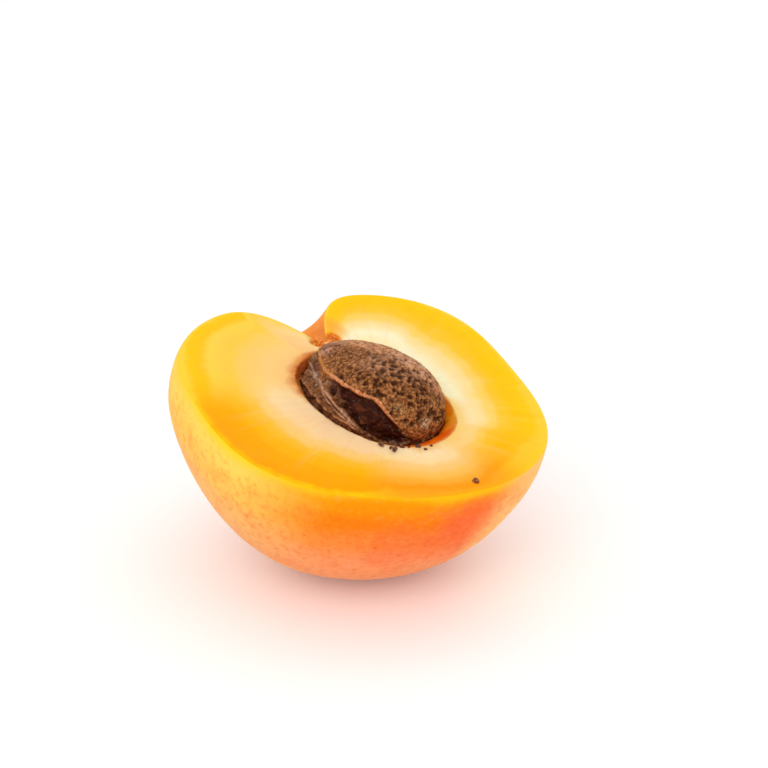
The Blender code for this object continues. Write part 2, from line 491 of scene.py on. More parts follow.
def patch_effect():
    """The share of a bruise, blush or stain in a surface. A place's distance from the middle of an
    ellipsoid, in units of its half sizes, is frayed by a noise and eased from 0 outside to 1 within."""
    tree, given, result = new_effect("soft_patch", (
        ("Place", "Vector"), ("Middle", "Vector"), ("Half Sizes", "Vector"), ("Noise", "Float"),
        ("Fraying", "Float"), ("Outside", "Float"), ("Within", "Float")), ("Share", "Float"))
    offset = node(tree, "VectorMath", {0: given["Place"], 1: given["Middle"]}, operation="SUBTRACT")
    scaled = {0: offset.outputs["Vector"], 1: given["Half Sizes"]}
    scaled = node(tree, "VectorMath", scaled, operation="DIVIDE").outputs["Vector"]
    distance = node(tree, "VectorMath", {0: scaled}, operation="LENGTH").outputs["Value"]
    distance = nudged(tree, distance, given["Noise"], given["Fraying"])
    feed(tree, result, {"Share": mask(tree, distance, given["Outside"], given["Within"])})
    return tree


def facing_effect():
    """The share of a colour on one side of the fruit: the cosine between a place's heading and a given one,
    eased from 0 at the start to 1 at full."""
    tree, given, result = new_effect("facing", (
        ("Place", "Vector"), ("Toward", "Vector"), ("Start", "Float"), ("Full", "Float")), ("Share", "Float"))
    cosine = node(tree, "VectorMath", {0: given["Place"], 1: given["Toward"]}, operation="DOT_PRODUCT")
    feed(tree, result, {"Share": mask(tree, cosine.outputs["Value"], given["Start"], given["Full"])})
    return tree


mottling, soft_patch, one_side = mottling_effect(), patch_effect(), facing_effect()


def mottled(tree, by, dark_below, light_above, dark, light):
    """Places the mottling in a material."""
    inputs = {"Noise": by, "Dark Below": dark_below, "Light Above": light_above, "Dark": dark, "Light": light}
    return node(tree, "Group", inputs, node_tree=mottling).outputs["Colour"]


def patch_share(tree, place, middle, size, outside, within, frayed_by=0.0, fraying=0.0):
    """Places a soft patch in a material."""
    inputs = {"Place": place, "Middle": tuple(middle), "Half Sizes": tuple(size), "Noise": frayed_by,
              "Fraying": fraying, "Outside": outside, "Within": within}
    return node(tree, "Group", inputs, node_tree=soft_patch).outputs["Share"]


def facing(tree, place, degrees, start, full):
    """Places a share for one side of the fruit in a material."""
    inputs = {"Place": place, "Toward": tuple(compass(radians(degrees))), "Start": start, "Full": full}
    return node(tree, "Group", inputs, node_tree=one_side).outputs["Share"]


def flesh_material():
    """Cut flesh: cream round the stone, through peach to a saturated yellow under the skin, deeper orange
    toward the front, with fine fibres running out from the stone and a painted highlight along the rounded
    cut edge. It is stained brown round the hollow at the stem end and bruised beside the notch; at the
    hollow's rim by the apex it is golden, a painted glow of light through the thin flesh. The hollow's own
    wall is brown at the stem end and red-orange at the apex end, brightened there by a painted glow of
    light coming through the flesh into the gap round the stone."""
    material, tree, shader = new_material("cut_flesh")
    place = field(tree, "place")
    here = object_place(tree)
    progress_here = field_parts(tree, "place")["Z"]
    fibre_at = node(tree, "VectorMath", {0: place, 1: (46.0, 46.0, 2.6)}, operation="MULTIPLY")
    fibre = noise(tree, fibre_at.outputs["Vector"], 0.34, detail=3.0)
    blotch = noise(tree, here, 260.0, detail=3.0)
    cloud = noise(tree, here, 90.0)
    dapple = noise(tree, here, 420.0)

    # Each lobe's colours run from the hollow's rim to the cut edge. The bands wander with the noises, and
    # come nearer to the rim or to the edge about some headings: heading, start and full reach, and shift.
    shifted = nudged(tree, progress_here, cloud, 0.15)
    shifted = nudged(tree, shifted, fibre, 0.09)
    shifted = nudged(tree, shifted, dapple, 0.12)
    for middle, start, full, shift in (
            (22.0, 0.955, 1.0, 0.17), (48.0, 0.90, 0.99, 0.08), (141.0, 0.93, 0.995, -0.12),
            (341.0, 0.97, 1.0, 0.10), (288.0, 0.93, 0.99, -0.05), (262.0, 0.95, 1.0, -0.05),
            (187.0, 0.982, 0.998, -0.35)):
        near_middle = facing(tree, place, middle, start, full)
        shifted = math_node(tree, "MULTIPLY_ADD", near_middle, shift, shifted)
    # The last stop of each lobe, at the cut edge, is lighter than the one before it: a painted highlight
    # along the rounded edge.
    back_lobe = ramp(tree, shifted, [
        (0.02, linear(254, 228, 174)), (0.20, linear(254, 237, 195)), (0.37, linear(253, 218, 148)),
        (0.50, linear(254, 205, 94)), (0.61, linear(252, 194, 42)), (0.74, linear(251, 192, 8)),
        (0.90, linear(251, 196, 8)), (1.0, linear(253, 202, 52))])
    front_lobe = ramp(tree, shifted, [
        (0.02, linear(252, 204, 158)), (0.20, linear(254, 209, 154)), (0.34, linear(253, 199, 114)),
        (0.46, linear(253, 184, 42)), (0.58, linear(253, 176, 8)), (0.72, linear(250, 165, 0)),
        (0.90, linear(252, 160, 0)), (1.0, linear(254, 184, 14))])
    left_lobe = ramp(tree, shifted, [
        (0.02, linear(252, 195, 126)), (0.20, linear(254, 202, 124)), (0.42, linear(254, 201, 103)),
        (0.60, linear(254, 199, 72)), (0.76, linear(254, 205, 74)), (0.86, linear(248, 191, 24)),
        (0.92, linear(246, 194, 14)), (1.0, linear(252, 200, 60))])
    apex_lobe = ramp(tree, shifted, [
        (0.02, linear(244, 192, 128)), (0.16, linear(254, 218, 170)), (0.30, linear(253, 214, 156)),
        (0.46, linear(250, 196, 116)), (0.62, linear(252, 185, 82)), (0.76, linear(249, 168, 50)),
        (0.88, linear(248, 152, 14)), (1.0, linear(252, 160, 24))])
    facing_left = facing(tree, place, 215.0, 0.62, 0.97)
    facing_front = facing(tree, place, 318.0, 0.05, 0.80)
    facing_apex = facing(tree, place, 355.0, 0.88, 0.99)
    colour = mixed(tree, facing_front, back_lobe, front_lobe)
    colour = mixed(tree, facing_left, colour, left_lobe)
    colour = mixed(tree, facing_apex, colour, apex_lobe)

    fibrous = math_node(tree, "MULTIPLY_ADD", facing_left, -0.08, 0.10)
    pale_fibre = times(tree, mask(tree, fibre, 0.52, 0.72), mask(tree, progress_here, 0.95, 0.3))
    colour = mixed(tree, times(tree, pale_fibre, fibrous), colour, linear(255, 240, 205))
    dark_fibre = times(tree, mask(tree, fibre, 0.47, 0.3), fibrous)
    colour = mixed(tree, dark_fibre, colour, linear(240, 160, 50))

    # A painted glow of light: golden at the hollow's rim by the apex, where the flesh is thin.
    near_apex = facing(tree, place, 32.0, 0.84, 0.97)
    painted_rim_glow = times(tree, near_apex, mask(tree, progress_here, 0.30, 0.0))
    colour = mixed(tree, times(tree, painted_rim_glow, 0.75), colour, linear(253, 194, 78))

    stem_side = facing(tree, place, 205.0, 0.0, 0.90)
    stain_reach = math_node(tree, "MULTIPLY_ADD", stem_side, 0.085, -0.015)
    stain_edge = nudged(tree, progress_here, blotch, 0.12)
    stain = mask(tree, math_node(tree, "SUBTRACT", stain_reach, stain_edge), -0.04, 0.06)
    stain_colour = mottled(tree, dapple, 0.38, 0.62, linear(190, 96, 34), linear(226, 138, 66))
    colour = mixed(tree, times(tree, stain, 0.92), colour, stain_colour)

    in_fruit = field(tree, "fruit_place")
    bruised = patch_share(tree, in_fruit, (-1.8, 3.6, 0.0), (3.8, 2.0, 3.0), 1.15, 0.2)
    colour = mixed(tree, times(tree, bruised, 0.6), colour, linear(238, 158, 70))
    tissue = ramp(tree, noise(tree, here, 620.0, detail=4.0, roughness=0.6), [
        (0.30, linear(176, 84, 18)), (0.44, linear(238, 128, 30)), (0.60, linear(255, 172, 70)),
        (0.75, linear(255, 204, 140))])
    torn_here = patch_share(tree, in_fruit, TEAR_MIDDLE, TEAR_SIZE, 1.0, 0.75, blotch, 0.7)
    colour = mixed(tree, torn_here, colour, tissue)

    hollow = mask(tree, progress_here, 0.02, -0.02)
    # At the apex end the wall takes its own red-orange, brightened as a painted glow of light coming through
    # the flesh into the narrow gap round the stone.
    glowing_side = facing(tree, place, 10.0, -0.1, 0.7)
    hollow_colour = mottled(tree, blotch, 0.4, 0.62, linear(172, 86, 34), linear(224, 136, 66))
    reddish = facing(tree, place, 8.0, 0.86, 0.985)
    wall_low = mixed(tree, reddish, linear(255, 138, 12), linear(240, 78, 4))
    wall_high = mixed(tree, reddish, linear(255, 172, 42), linear(252, 108, 12))
    wall_colour_and_glow = mottled(tree, dapple, 0.36, 0.64, wall_low, wall_high)
    hollow_colour = mixed(tree, glowing_side, hollow_colour, wall_colour_and_glow)
    colour = mixed(tree, hollow, colour, hollow_colour)

    wetness = ramp(tree, blotch, [(0.35, grey(0.30)), (0.65, grey(0.50))])
    grain = noise(tree, here, 1900.0, detail=3.0, roughness=0.65)
    relief = math_node(tree, "MULTIPLY_ADD", fibre, 0.9, grain)
    bump = node(tree, "Bump", {"Strength": 0.35, "Distance": 0.00025, "Height": relief})
    feed(tree, shader, {
        "Base Color": colour, "Roughness": wetness, "Normal": bump.outputs["Normal"], "IOR": 1.1,
        "Subsurface Weight": 0.5, "Subsurface Radius": (1.0, 0.5, 0.12), "Subsurface Scale": 0.0035})
    return material


def skin_material():
    """Ripe skin: apricot orange, deepest just under the cut edge in a saturated band that is painted light
    coming through the flesh, peach lower down and on the left, with a red blush toward the apex and a
    paler side beyond it, partly its own colour and partly a painted sheen of the down, a browner stem
    hollow, mottling, brick-red freckles, and a fine pale down."""
    material, tree, shader = new_material("velvet_skin")
    place = field(tree, "place")
    here = object_place(tree)
    progress_here = field_parts(tree, "place")["Z"]
    cloud = noise(tree, here, 70.0, detail=3.0)
    mottle = noise(tree, here, 420.0, detail=3.0, roughness=0.6)
    pore = noise(tree, here, 1500.0, detail=2.0)

    below = math_node(tree, "SUBTRACT", nudged(tree, progress_here, cloud, 0.11), 1.0)
    # Just under the cut edge the orange deepens to a saturated band: painted light coming through the flesh.
    front = ramp(tree, below, [
        (0.0, linear(254, 180, 14)), (0.05, linear(250, 146, 2)), (0.13, linear(246, 124, 5)),
        (0.22, linear(243, 134, 54)), (0.34, linear(243, 150, 96)), (0.80, linear(236, 152, 108))])
    left = ramp(tree, below, [
        (0.0, linear(251, 200, 40)), (0.06, linear(252, 204, 88)), (0.16, linear(246, 188, 84)),
        (0.26, linear(241, 177, 98)), (0.45, linear(236, 162, 100)), (0.85, linear(232, 150, 98))])
    back = ramp(tree, below, [
        (0.0, linear(252, 196, 50)), (0.08, linear(248, 180, 62)), (0.22, linear(242, 156, 60)),
        (0.45, linear(234, 140, 68)), (0.85, linear(224, 138, 78))])
    colour = mixed(tree, facing(tree, place, 335.0, 0.1, 0.85), back, front)
    colour = mixed(tree, facing(tree, place, 236.0, 0.05, 0.64), colour, left)

    in_fruit = field(tree, "fruit_place")
    for middle, size, strength in (
            ((37.8, 1.5, -7.0), (9.0, 7.5, 10.5), 0.80),
            ((35.5, -7.5, -10.0), (8.0, 8.0, 7.5), 0.42),
            ((14.0, 24.0, -10.0), (15.0, 9.0, 10.0), 0.40)):
        blush = patch_share(tree, in_fruit, middle, size, 1.1, 0.25, mottle, 0.9)
        blush = times(tree, blush, mask(tree, below, 0.0, 0.07))
        colour = mixed(tree, times(tree, blush, strength), colour, linear(244, 100, 58))
    # A paler side beyond the blush: partly the skin's own paler colour, partly a painted sheen of the down
    # where the cheek turns away.
    pale_side_and_sheen = patch_share(tree, in_fruit, (33.0, 11.7, -7.0), (10.0, 9.5, 13.0), 1.3, 0.65)
    colour = mixed(tree, times(tree, pale_side_and_sheen, 0.75), colour, linear(252, 198, 122))

    in_cavity = times(tree, facing(tree, place, STEM_HEADING, 0.90, 0.99), mask(tree, below, 0.42, 0.06))
    colour = mixed(tree, in_cavity, colour, linear(250, 150, 46))
    by_tear = times(tree, facing(tree, place, STEM_HEADING, 0.978, 0.996), mask(tree, below, 0.16, 0.05))
    colour = mixed(tree, by_tear, colour, mixed(tree, mottle, linear(196, 100, 34), linear(250, 160, 74)))

    fine = noise(tree, here, 1000.0, detail=3.0, roughness=0.65)
    lighter = times(tree, mask(tree, fine, 0.5, 0.75), 0.12)
    colour = mixed(tree, lighter, colour, linear(252, 184, 120))
    darker = times(tree, mask(tree, fine, 0.54, 0.32), mask(tree, progress_here, 1.0, 1.09))
    colour = mixed(tree, times(tree, darker, 0.32), colour, linear(214, 96, 36))
    blotched = times(tree, mask(tree, noise(tree, here, 330.0, detail=3.0), 0.48, 0.70), 0.22)
    blotched = times(tree, blotched, mask(tree, below, 0.02, 0.12))
    colour = mixed(tree, blotched, colour, linear(244, 112, 40))
    freckled = mask(tree, progress_here, 1.05, 1.22)
    for spots_per_metre, kept, strength in ((1250.0, 0.45, 0.44), (700.0, 0.70, 0.42)):
        inputs = {"Vector": here, "Scale": spots_per_metre, "Randomness": 1.0}
        cells = node(tree, "TexVoronoi", inputs, feature="F1")
        speck = mask(tree, cells.outputs["Distance"], 0.27, 0.10)
        chance = node(tree, "SeparateColor", {"Color": cells.outputs["Color"]}).outputs["Red"]
        speck = times(tree, speck, mask(tree, chance, kept, kept + 0.2))
        speck = times(tree, times(tree, speck, freckled), strength)
        colour = mixed(tree, speck, colour, linear(214, 92, 30))

    relief = math_node(tree, "MULTIPLY_ADD", mottle, 0.6, pore)
    bump = node(tree, "Bump", {"Strength": 0.22, "Distance": 0.0002, "Height": relief})
    feed(tree, shader, {
        "Base Color": colour, "Roughness": 0.55, "Normal": bump.outputs["Normal"], "IOR": 1.08,
        "Subsurface Weight": 0.3, "Subsurface Radius": (1.0, 0.5, 0.15), "Subsurface Scale": 0.002,
        "Sheen Weight": 0.22, "Sheen Roughness": 0.25, "Sheen Tint": linear(255, 226, 180)})
    return material


half.data.materials.append(flesh_material())
half.data.materials.append(skin_material())
# Skin begins on the outer turn of the rounded cut edge.
flesh_rings = HOLLOW_RINGS - 1 + LIP_RINGS + FACE_RINGS + EDGE_RINGS - 2
slots = np.ones(len(half.data.polygons), dtype=np.int32)
slots[:HEADINGS * flesh_rings] = 0
half.data.polygons.foreach_set("material_index", slots)
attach(half, "root")
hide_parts("apricot_half")


# --- The stone --------------------------------------------------------------------------------
# The whole woody stone, lying loose in its hollow with its keel edge rolled up toward the front.
# Three ridges run along the keel edge with deep furrows between them; the cheeks are pitted, most
# deeply toward the apex end. Everything is carved down from a smooth ellipsoid with blunt ends.

AROUND_STONE, ALONG_STONE = 400, 236
END_SETBACK = 0.15
FURROW_DEPTH, TROUGH_DEPTH, SHELF_DEPTH, HOOK_PIT_DEPTH = 0.62, 0.95, 0.85, 0.45
PIT_DEPTH, FINE_PIT_DEPTH, GRAIN_DEPTH, BAND_ROUGHNESS, RIDGE_RISE = 0.46, 0.14, 0.07, 0.30, 0.15


def nearest_of_scatter(points, size, seed):
    """Distance, in cell sizes, to the nearest of a scatter of points, one to each cell of a lattice. The
    nearest lies in a point's own cell or in one of the 26 round it."""
    scaled = points / size
    cell = np.floor(scaled).astype(np.int64)
    table = np.random.default_rng(seed).uniform(0, 1, (NOISE_TABLE, 3))
    nearest = np.full(points.shape[:-1], np.inf)
    for step in np.ndindex(3, 3, 3):
        other = cell + np.array(step) - 1
        distance = np.linalg.norm(other + table[table_row(other)] - scaled, axis=-1)
        nearest = np.minimum(nearest, distance)
    return nearest


def crest(arc, middle, width):
    """A rounded ridge of height 1 at a distance round the stone, falling away on both sides: e to minus
    the 1.6th power of the distance from its middle in widths."""
    return np.exp(-np.abs((arc - middle) / width) ** 1.6)


around = np.linspace(0, 2 * math.pi, AROUND_STONE, endpoint=False)[None, :]
along = np.linspace(0, math.pi, ALONG_STONE + 2)[1:-1, None]
direction = np.stack([np.cos(along) + 0 * around, np.sin(along) * np.cos(around),
                      np.sin(along) * np.sin(around)], axis=-1)
base = direction * ellipsoid_radius(direction, STONE_SEMI_AXES)[..., None]

# Angle off the keel, which lies at -Y; positive is the upper side once the stone is rolled. The three
# ridges start close together at the stem end and fan out toward the apex.
wander = 1.5 * lattice_noise(base, 6.0, 51) + 0.8 * lattice_noise(base, 2.0, 52)
off_keel = np.degrees(np.arctan2(direction[..., 2], -direction[..., 1])) + wander
girth_here = np.hypot(base[..., 1], base[..., 2])
ahead = base[..., 0]
upper_ridge = 12.0 + 8.5 * np.exp(-ahead / 4.6) - 47.0 * np.clip((ahead - 8.0) / 3.6, 0, 1) ** 3
keel_ridge = 4.5 - 3.1 * ahead - 1.1 * np.clip(ahead - 4.0, 0, None) ** 2
lower_ridge = -10.5 - 1.8 * ahead - 1.1 * np.clip(ahead - 4.0, 0, None) ** 2


def arc_from(line):
    """Distance round the stone in millimetres from a ridge line given by its angle."""
    return radians(off_keel - line) * girth_here


waist = smooth_step(0.0, 0.55, np.sin(along)) * smooth_step(11.7, 11.1, ahead) + 0 * around
wobble = 0.16 * lattice_noise(base, 1.6, 55) + 0.08 * lattice_noise(base, 0.7, 56)
broken = 0.72 + 0.4 * lattice_noise(base, 1.1, 57)
off_upper, off_middle, off_lower = arc_from(upper_ridge), arc_from(keel_ridge), arc_from(lower_ridge)
short_of_apex = smooth_step(7.5, 5.5, ahead)
upper_crest = crest(off_upper, wobble, 0.34) * np.clip(broken + 0.3, 0, 1)
keel_pair = np.maximum(crest(off_middle, -1.3 * wobble, 0.30), 0.8 * crest(off_middle, -0.75 + wobble, 0.24))
keel_crest = keel_pair * smooth_step(-9.0, -5.0, ahead) * np.clip(broken + 0.25, 0, 1) * short_of_apex
lower_crest = crest(off_lower, wobble, 0.34) * np.clip(broken + 0.2, 0, 1) * short_of_apex
ridges = np.maximum.reduce([upper_crest, 0.85 * keel_crest, 0.75 * lower_crest])

# The band of furrows, the knobbly trough between the upper two ridges, and a shelf at the stem end.
in_band = smooth_step(0.35, -0.15, off_upper) * smooth_step(-2.5, -1.0, off_lower)
furrow = in_band * (1 - ridges) * waist
between = smooth_step(0.2, -0.5, off_upper) * smooth_step(-0.1, 0.6, off_middle)
knobs = smooth_step(0.0, 0.55, rough_noise(base, 1.25, 58)) * smooth_step(3.2, 1.6, off_middle)
end_knobs = smooth_step(-0.05, 0.5, rough_noise(base, 1.1, 59)) * smooth_step(9.6, 10.8, ahead)
knobs = np.maximum(knobs, end_knobs)
trough = between * smooth_step(-1.5, 3.0, ahead) * smooth_step(11.6, 10.7, ahead) * (1 - 0.6 * knobs)
shelved = smooth_step(2.5, -4.0, ahead) * smooth_step(1.2, -1.2, off_middle)

# Pits of two sizes on the cheeks, larger toward the apex, and one by the upper ridge.
hook_pit = np.exp(-((off_upper - 0.65) / 0.42) ** 2 - ((ahead - 2.3) / 0.7) ** 2)
pitted = 1 - in_band
toward_apex = smooth_step(-10.0, 9.0, ahead)
swirl = np.stack([rough_noise(base, 1.5, seed) for seed in (81, 84, 87)], axis=-1)
pits = smooth_step(0.60, 0.25, nearest_of_scatter(base + 0.25 * swirl, 0.85, 61))
pits = pits * (0.05 + 0.95 * toward_apex ** 1.5) * pitted
fine_pits = smooth_step(0.5, 0.15, nearest_of_scatter(base + 0.15 * swirl, 0.48, 62))
fine_pits = fine_pits * (0.35 + 0.65 * toward_apex) * pitted

depth_in = FURROW_DEPTH * furrow + TROUGH_DEPTH * trough * (1 - ridges) + SHELF_DEPTH * shelved
depth_in += PIT_DEPTH * pits + FINE_PIT_DEPTH * fine_pits + HOOK_PIT_DEPTH * hook_pit
depth_in += GRAIN_DEPTH * (1 - rough_noise(base, 1.1, 71, octaves=4)) - RIDGE_RISE * ridges * waist
depth_in += BAND_ROUGHNESS * furrow * rough_noise(base, 1.0, 72)
surface = base * (1 - depth_in[..., None] / np.linalg.norm(base, axis=-1, keepdims=True))

apex_end = np.array([STONE_SEMI_AXES[0], 0, 0])
end_share = 1 - END_SETBACK / STONE_SEMI_AXES[0]
stone = closed_surface(
    "apricot_stone",
    fruit_to_scene(stone_to_fruit(apex_end * end_share)),
    fruit_to_scene(stone_to_fruit(surface)),
    fruit_to_scene(stone_to_fruit(-apex_end * end_share)),
    np.linspace(0.005, 0.995, ALONG_STONE),
)
hollows = np.maximum.reduce([pits, fine_pits * 0.8, hook_pit])
flat = np.zeros(3)
add_field(stone, "relief", flat, np.stack([ridges * in_band * waist, furrow, hollows], axis=-1), flat)
ridge_by_ridge = np.stack([upper_crest * waist, keel_crest * waist, trough * (1 - ridges)], axis=-1)
add_field(stone, "ridge_by_ridge", flat, ridge_by_ridge, flat)
add_field(stone, "own_place", apex_end, base, -apex_end)


def stone_material():
    """Woody shell: warm brown, paler toward its upper side away from the keel and pinkish above, both painted
    light from above, dark in the pits and nearly black-brown in the trough, both painted shade, with paler
    orange-brown ridges, an ochre stretch of the upper ridge, pale grey painted glints, and a few small
    patches of olive, grey, pink and dark purple."""
    material, tree, shader = new_material("woody_stone")
    relief = field_parts(tree, "relief")
    ridge_here = field_parts(tree, "ridge_by_ridge")
    own = field(tree, "own_place")
    place = field_parts(tree, "own_place")
    patch = noise(tree, own, 0.35, detail=3.0)
    speckle = noise(tree, own, 2.4, detail=4.0, roughness=0.7)
    streak_at = node(tree, "Mapping", {"Vector": own, "Scale": (0.45, 1.6, 1.6)}).outputs["Vector"]
    streak = noise(tree, streak_at, 1.0, detail=3.0)

    cheek = mottled(tree, speckle, 0.38, 0.62, linear(92, 44, 14), linear(184, 120, 66))
    # Paler toward the upper side, away from the keel, mottled by the grain: painted light falling from above.
    up_and_off_keel = times(tree, place["Z"], 0.104)
    up_and_off_keel = math_node(tree, "MULTIPLY_ADD", place["Y"], 0.068, up_and_off_keel)
    up_and_off_keel = math_node(tree, "MULTIPLY_ADD", place["X"], -0.008, up_and_off_keel)
    painted_top_light = times(tree, mask(tree, up_and_off_keel, 0.38, 0.60), mask(tree, speckle, 0.28, 0.50))
    cheek = mixed(tree, times(tree, painted_top_light, 0.60), cheek, linear(238, 168, 118))
    streaked = times(tree, mask(tree, streak, 0.56, 0.38), 0.45)
    cheek = mixed(tree, streaked, cheek, linear(112, 64, 28))
    # Pink on the upper side where the light falls: a painted highlight.
    above = times(tree, mask(tree, place["Z"], 4.0, 6.8), mask(tree, place["X"], 0.0, 8.0))
    painted_pink_highlight = times(tree, above, mask(tree, patch, 0.3, 0.6))
    cheek = mixed(tree, times(tree, painted_pink_highlight, 0.60), cheek, linear(220, 168, 134))
    # The pits are painted dark brown: painted shade in them.
    cheek = mixed(tree, times(tree, relief["Z"], 0.92), cheek, linear(58, 25, 10))

    patchy_at = node(tree, "Mapping", {"Vector": own, "Scale": (0.5, 1.0, 1.0)}).outputs["Vector"]
    patchy = noise(tree, patchy_at, 1.1, detail=3.0)
    band = mottled(tree, speckle, 0.36, 0.64, linear(92, 46, 18), linear(160, 106, 64))
    band = mixed(tree, times(tree, mask(tree, patchy, 0.50, 0.36), 0.75), band, linear(66, 30, 16))
    # Pale grey patches in the furrow band: painted glints.
    band = mixed(tree, times(tree, mask(tree, patchy, 0.58, 0.68), 0.6), band, linear(164, 146, 128))
    colour = mixed(tree, mask(tree, relief["Y"], 0.1, 0.4), cheek, band)
    # The trough is painted nearly black-brown: painted shade in the deep groove between the upper two ridges.
    painted_trough_shade = mottled(tree, patchy, 0.5, 0.72, linear(52, 17, 5), linear(92, 42, 22))
    colour = mixed(tree, mask(tree, ridge_here["Z"], 0.15, 0.6), colour, painted_trough_shade)

    for ridge_height, full, dark, light in (
            (relief["X"], 0.70, (164, 94, 52), (198, 132, 88)),
            (ridge_here["Y"], 0.75, (150, 104, 76), (202, 152, 120)),
            (ridge_here["X"], 0.75, (178, 98, 48), (224, 154, 108))):
        ridge_line = mottled(tree, speckle, 0.35, 0.65, linear(*dark), linear(*light))
        colour = mixed(tree, mask(tree, ridge_height, 0.35, full), colour, ridge_line)
    ochre = times(tree, mask(tree, place["X"], 2.0, -3.0), mask(tree, ridge_here["X"], 0.1, 0.6))
    colour = mixed(tree, times(tree, ochre, 0.7), colour, linear(176, 112, 42))
    # Small patches of olive, pale grey, pink and dark purple, broken up by the grain.
    for middle, reach, small_patch_colour in (
            ((11.0, -4.1, 0.9), 1.2, linear(190, 148, 92)),
            ((12.0, 0.2, -0.5), 1.1, linear(184, 166, 142)),
            ((-4.2, -5.8, 5.4), 1.4, linear(206, 150, 124)),
            ((-4.4, -7.7, 3.0), 1.3, linear(74, 46, 56)),
            ((-3.4, -8.2, 1.6), 1.4, linear(158, 152, 146))):
        small_patch = patch_share(tree, own, middle, (reach, reach, reach), 1.0, 0.4)
        small_patch = times(tree, small_patch, mask(tree, speckle, 0.40, 0.60))
        colour = mixed(tree, times(tree, small_patch, 0.75), colour, small_patch_colour)
    # Pale grey flecks on the highest values of the grain noise: painted glints.
    painted_glints = times(tree, mask(tree, speckle, 0.60, 0.72), 0.30)
    colour = mixed(tree, painted_glints, colour, linear(196, 172, 156))

    roughness = ramp(tree, speckle, [(0.3, grey(0.38)), (0.7, grey(0.62))])
    bump = node(tree, "Bump", {"Strength": 0.5, "Distance": 0.0002, "Height": speckle})
    feed(tree, shader, {
        "Base Color": colour, "Roughness": roughness, "Normal": bump.outputs["Normal"], "IOR": 1.2})
    return material


stone.data.materials.append(stone_material())
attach(stone, "root")
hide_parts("stone")


# --- Torn fibres at the stem end --------------------------------------------------------------
# The bundle that fed the stone, torn across when the halves were twisted apart: a ragged plug of
# orange-brown tissue at the bottom of the stem hollow, in five clumps rooted in the flesh, with short
# loose strands among them that lie toward the stone.

STRANDS, STRAND_STEPS, STRAND_SIDES = 90, 14, 8
CLUMPS = np.array([  # place in the fruit, then half sizes
    [[0.3, -0.6, -1.05], [1.2, 1.2, 1.10]], [[1.3, 0.8, -1.10], [1.3, 1.1, 1.15]],
    [[2.1, -0.4, -1.35], [1.1, 0.9, 0.95]], [[0.6, 1.9, -1.30], [1.0, 0.8, 0.90]],
    [[1.7, 2.3, -1.60], [0.9, 0.7, 0.80]]])


def closed_group(name, firsts, rings, lasts):
    """Many closed surfaces in one mesh, each a stack of rings with a point at either end."""
    bodies, count, sides = rings.shape[:3]
    points = np.concatenate([firsts[:, None], rings.reshape(bodies, -1, 3), lasts[:, None]], axis=1)
    opening, quads, closing = ring_faces(count, sides)
    start = points.shape[1] * np.arange(bodies)[:, None, None]
    faces = (quads + start).reshape(-1, 4).tolist()
    faces += (np.concatenate([opening, closing]) + start).reshape(-1, 3).tolist()
    mesh = bpy.data.meshes.new(name)
    mesh.from_pydata(points.reshape(-1, 3).tolist(), [], faces)
    mesh.shade_smooth()
    return add_object(name, mesh)


LUMP_RINGS, LUMP_SIDES = 18, 28


def lumps(places_and_sizes, seed, roughness):
    """Grid spheres, one at each place, stretched to its size and swollen by a noise of their directions."""
    centres, sizes = places_and_sizes[:, 0], places_and_sizes[:, 1]
    polar = np.linspace(0, math.pi, LUMP_RINGS + 2)[1:-1, None]
    azimuth = np.linspace(0, 2 * math.pi, LUMP_SIDES, endpoint=False)[None, :]
    ball = np.stack([np.cos(polar) + 0 * azimuth, np.sin(polar) * np.cos(azimuth),
                     np.sin(polar) * np.sin(azimuth)], axis=-1)

    def placed(directions):
        shift, stretch = centres[:, None, None], sizes[:, None, None]
        swell = 1 + roughness * rough_noise(directions + shift * 7.3, 0.8, seed)
        return fruit_to_scene(shift + directions * stretch * swell[..., None])

    first, last = (placed(np.array([[[end, 0, 0]]]))[:, 0, 0] for end in (1.0, -1.0))
    return first, placed(ball), last


def strands(count, seed):
    """Tapered strands along parabolas: each sets out one way and is bent another by the end. Its rings
    stand square to the way it sets out, and its girth falls with the 1.5th power of the way along."""
    draw = np.random.default_rng(seed)
    clump = draw.integers(0, len(CLUMPS), count)
    root = CLUMPS[clump, 0] + CLUMPS[clump, 1] * draw.uniform(-0.9, 0.9, (count, 3))
    root[:, 2] = draw.uniform(-0.75, -0.1, count)
    lean = draw.uniform(-1.0, 1.0, (count, 3)) * [0.7, 0.8, 0.2] + [0.75, -0.1, 0.2]
    lean /= np.linalg.norm(lean, axis=1, keepdims=True)
    bend = draw.uniform(-1.0, 1.0, (count, 3)) * [1.2, 1.2, 0.4] + [0.5, -0.2, -0.9]
    length = draw.uniform(0.6, 1.9, (count, 1, 1))
    step = np.linspace(0, 1, STRAND_STEPS)[None, :, None]
    path = root[:, None] + length * (lean[:, None] * step + 0.42 * bend[:, None] * step ** 2)
    side = np.cross(lean, [0.3, 0.2, 0.93])
    side /= np.linalg.norm(side, axis=1, keepdims=True)
    rise = np.cross(lean, side)
    girth = draw.uniform(0.07, 0.20, (count, 1)) * (1 - 0.85 * step[..., 0] ** 1.5)
    girth = girth * (1 + 0.25 * draw.uniform(-1, 1, (count, STRAND_STEPS)))
    angle = np.linspace(0, 2 * math.pi, STRAND_SIDES, endpoint=False)[None, None, :, None]
    ring = np.cos(angle) * side[:, None, None] + np.sin(angle) * rise[:, None, None]
    rings = path[:, :, None] + girth[:, :, None, None] * ring
    return fruit_to_scene(path[:, 0]), fruit_to_scene(rings), fruit_to_scene(path[:, -1])


